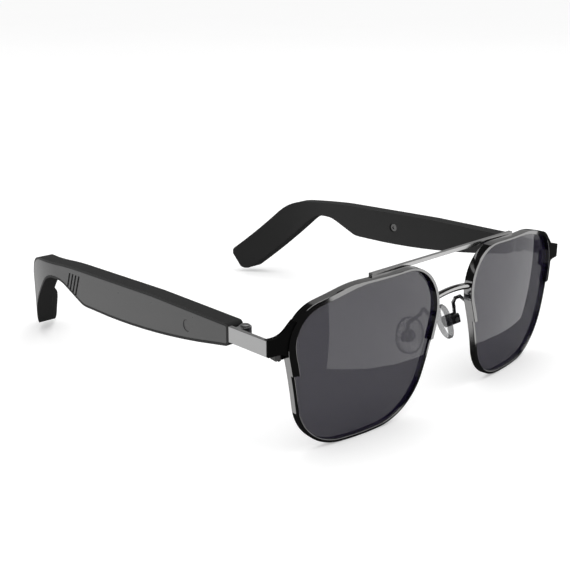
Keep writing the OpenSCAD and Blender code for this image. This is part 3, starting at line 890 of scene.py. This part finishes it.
# %% [markdown]
# ## Finishes on the nodes that stay
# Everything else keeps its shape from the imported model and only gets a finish.

# %% Node finishes
NODE_FINISH = {
    "brow_bar": bar_metal,
    "bridge": bar_metal,
    "pad_arm": dark_metal,
    "hinge_leaf": arm_metal,
    "battery": battery_foil,
    "main_board": board_lacquer,
    "speaker": speaker_plastic,
    "speaker_mesh": speaker_screen,
    "microphone": contact_metal,
    "touch_sensor": sensor_film,
    "charge_contact": contact_metal,
}
for node, piece in frame["nodes"].items():
    stem = node.removesuffix("_left").removesuffix("_right")
    if stem in NODE_FINISH:
        piece.data.materials.clear()
        piece.data.materials.append(NODE_FINISH[stem])

# %% [markdown]
# ## Studio
# A white sweep with a soft shadow, and a dark room for the polished metal to mirror. Glowing sheets
# stand in that room. The front one is what shows as the lighter field in both lenses. The side and back
# sheets draw the silver patches on the flanks of the rims, and the dim rear one greys their top edges.
# The front sheet reaches lower than the floor, so the floor is left out of mirror rays.


# %% Glowing sheets
SHEET_DISTANCE = 1.5
SHEET_HEIGHT = 0.025


def glow_sheet(name, azimuth, low_span, high_span, heights, radiance, lights=True):
    """An upright glowing sheet square to a direction, azimuth 0 straight ahead and right positive."""
    az = math.radians(azimuth)
    ahead = Vector((math.sin(az), -math.cos(az), 0))
    right = Vector((math.cos(az), math.sin(az), 0))
    middle = Vector((0, FRONT_Y, SHEET_HEIGHT)) + ahead * SHEET_DISTANCE
    low = [(across, heights[0]) for across in low_span]
    high = [(across, heights[1]) for across in reversed(high_span)]
    corners = [middle + right * across + Vector((0, 0, up)) for across, up in low + high]
    mesh = bpy.data.meshes.new(name)
    mesh.from_pydata(corners, [], [(0, 1, 2, 3)])
    white = (1.0, 1.0, 1.0, 1.0)
    shader = Shader(name, Emission_Color=white, Emission_Strength=radiance, Base_Color=grey(0.0))
    mesh.materials.append(shader.material)
    sheet = bpy.data.objects.new(name, mesh)
    bpy.context.scene.collection.objects.link(sheet)
    sheet.visible_diffuse = lights
    sheet.visible_camera = False
    sheet.visible_shadow = False
    sheet.visible_transmission = False


glow_sheet("front_panel", 42.0, (-0.60, 1.17), (-0.75, 1.17), (-0.77, 0.75), 1.05)
glow_sheet("side_panel", -148.0, (0.13, 1.4), (0.13, 1.4), (-1.85, 0.35), 0.85)
glow_sheet("back_panel", -148.0, (-1.6, 0.13), (-1.6, 0.13), (-1.3, 0.35), 0.85)
glow_sheet("rear_panel", 148.0, (-1.1, 0.9), (-1.1, 0.9), (0.1, 1.5), 0.3, lights=False)

# %% Floor
HALF_FLOOR = 40.0
floor_corners = [(-1, -1), (1, -1), (1, 1), (-1, 1)]
floor_mesh = bpy.data.meshes.new("floor")
floor_mesh.from_pydata([(x * HALF_FLOOR, y * HALF_FLOOR, 0) for x, y in floor_corners], [], [(0, 1, 2, 3)])
floor = bpy.data.objects.new("floor", floor_mesh)
bpy.context.scene.collection.objects.link(floor)
floor_shader = Shader("floor_paper", Roughness=0.9, Specular_IOR_Level=0.0, Emission_Strength=0.27)
paper = floor_shader.blend(floor_shader.noise(3.0), grey(0.9), grey(0.92))
floor_shader.feed(Base_Color=paper, Emission_Color=paper)
floor_mesh.materials.append(floor_shader.material)
floor.visible_glossy = False
floor.visible_shadow = False

# %% Light from above
top = bpy.data.lights.new("top_light", "AREA")
top.size = 1.0
top.energy = 5.0
top_holder = bpy.data.objects.new("top_light", top)
top_holder.location = (0.1, FRONT_Y - 0.1, 1.2)
bpy.context.scene.collection.objects.link(top_holder)

# %% [markdown]
# The world is three worlds in one. Diffuse rays find a pale room, the camera sees it a little brighter,
# as white, and mirror rays find it almost black.

# %% World
WORLD_DIFFUSE, WORLD_CAMERA, WORLD_MIRROR = 0.78, 1.03, 0.02
world = bpy.data.worlds.new("studio")
bpy.context.scene.world = world
world.use_nodes = True
nodes, links = world.node_tree.nodes, world.node_tree.links
background = nodes["Background"]
background.inputs["Color"].default_value = (1.0, 1.0, 1.0, 1.0)
path = nodes.new("ShaderNodeLightPath")
strength = WORLD_DIFFUSE
for ray, change in (("Camera", WORLD_CAMERA - WORLD_DIFFUSE), ("Glossy", WORLD_MIRROR - WORLD_DIFFUSE)):
    step = nodes.new("ShaderNodeMath")
    step.operation = "MULTIPLY_ADD"
    links.new(path.outputs[f"Is {ray} Ray"], step.inputs[0])
    step.inputs[1].default_value = change
    if isinstance(strength, float):
        step.inputs[2].default_value = strength
    else:
        links.new(strength, step.inputs[2])
    strength = step.outputs[0]
links.new(strength, background.inputs["Strength"])

# %% Camera
CAMERA_AZIMUTH, CAMERA_ELEVATION = math.radians(-44.06), math.radians(17.39)
scene = bpy.context.scene
camera = bpy.data.cameras.new("camera")
camera.lens = 60.45
camera.sensor_width = 36.0
camera.clip_start = 0.01
holder = bpy.data.objects.new("camera", camera)
flat = math.cos(CAMERA_ELEVATION)
towards_camera = Vector(
    (math.sin(CAMERA_AZIMUTH) * flat, -math.cos(CAMERA_AZIMUTH) * flat, math.sin(CAMERA_ELEVATION))
)
holder.location = Vector((-230.4 * MM, FRONT_Y - 163.5 * MM, 125.6 * MM))
holder.rotation_euler = (-towards_camera).to_track_quat("-Z", "Y").to_euler()
scene.collection.objects.link(holder)
scene.camera = holder
scene.view_settings.view_transform = "Standard"
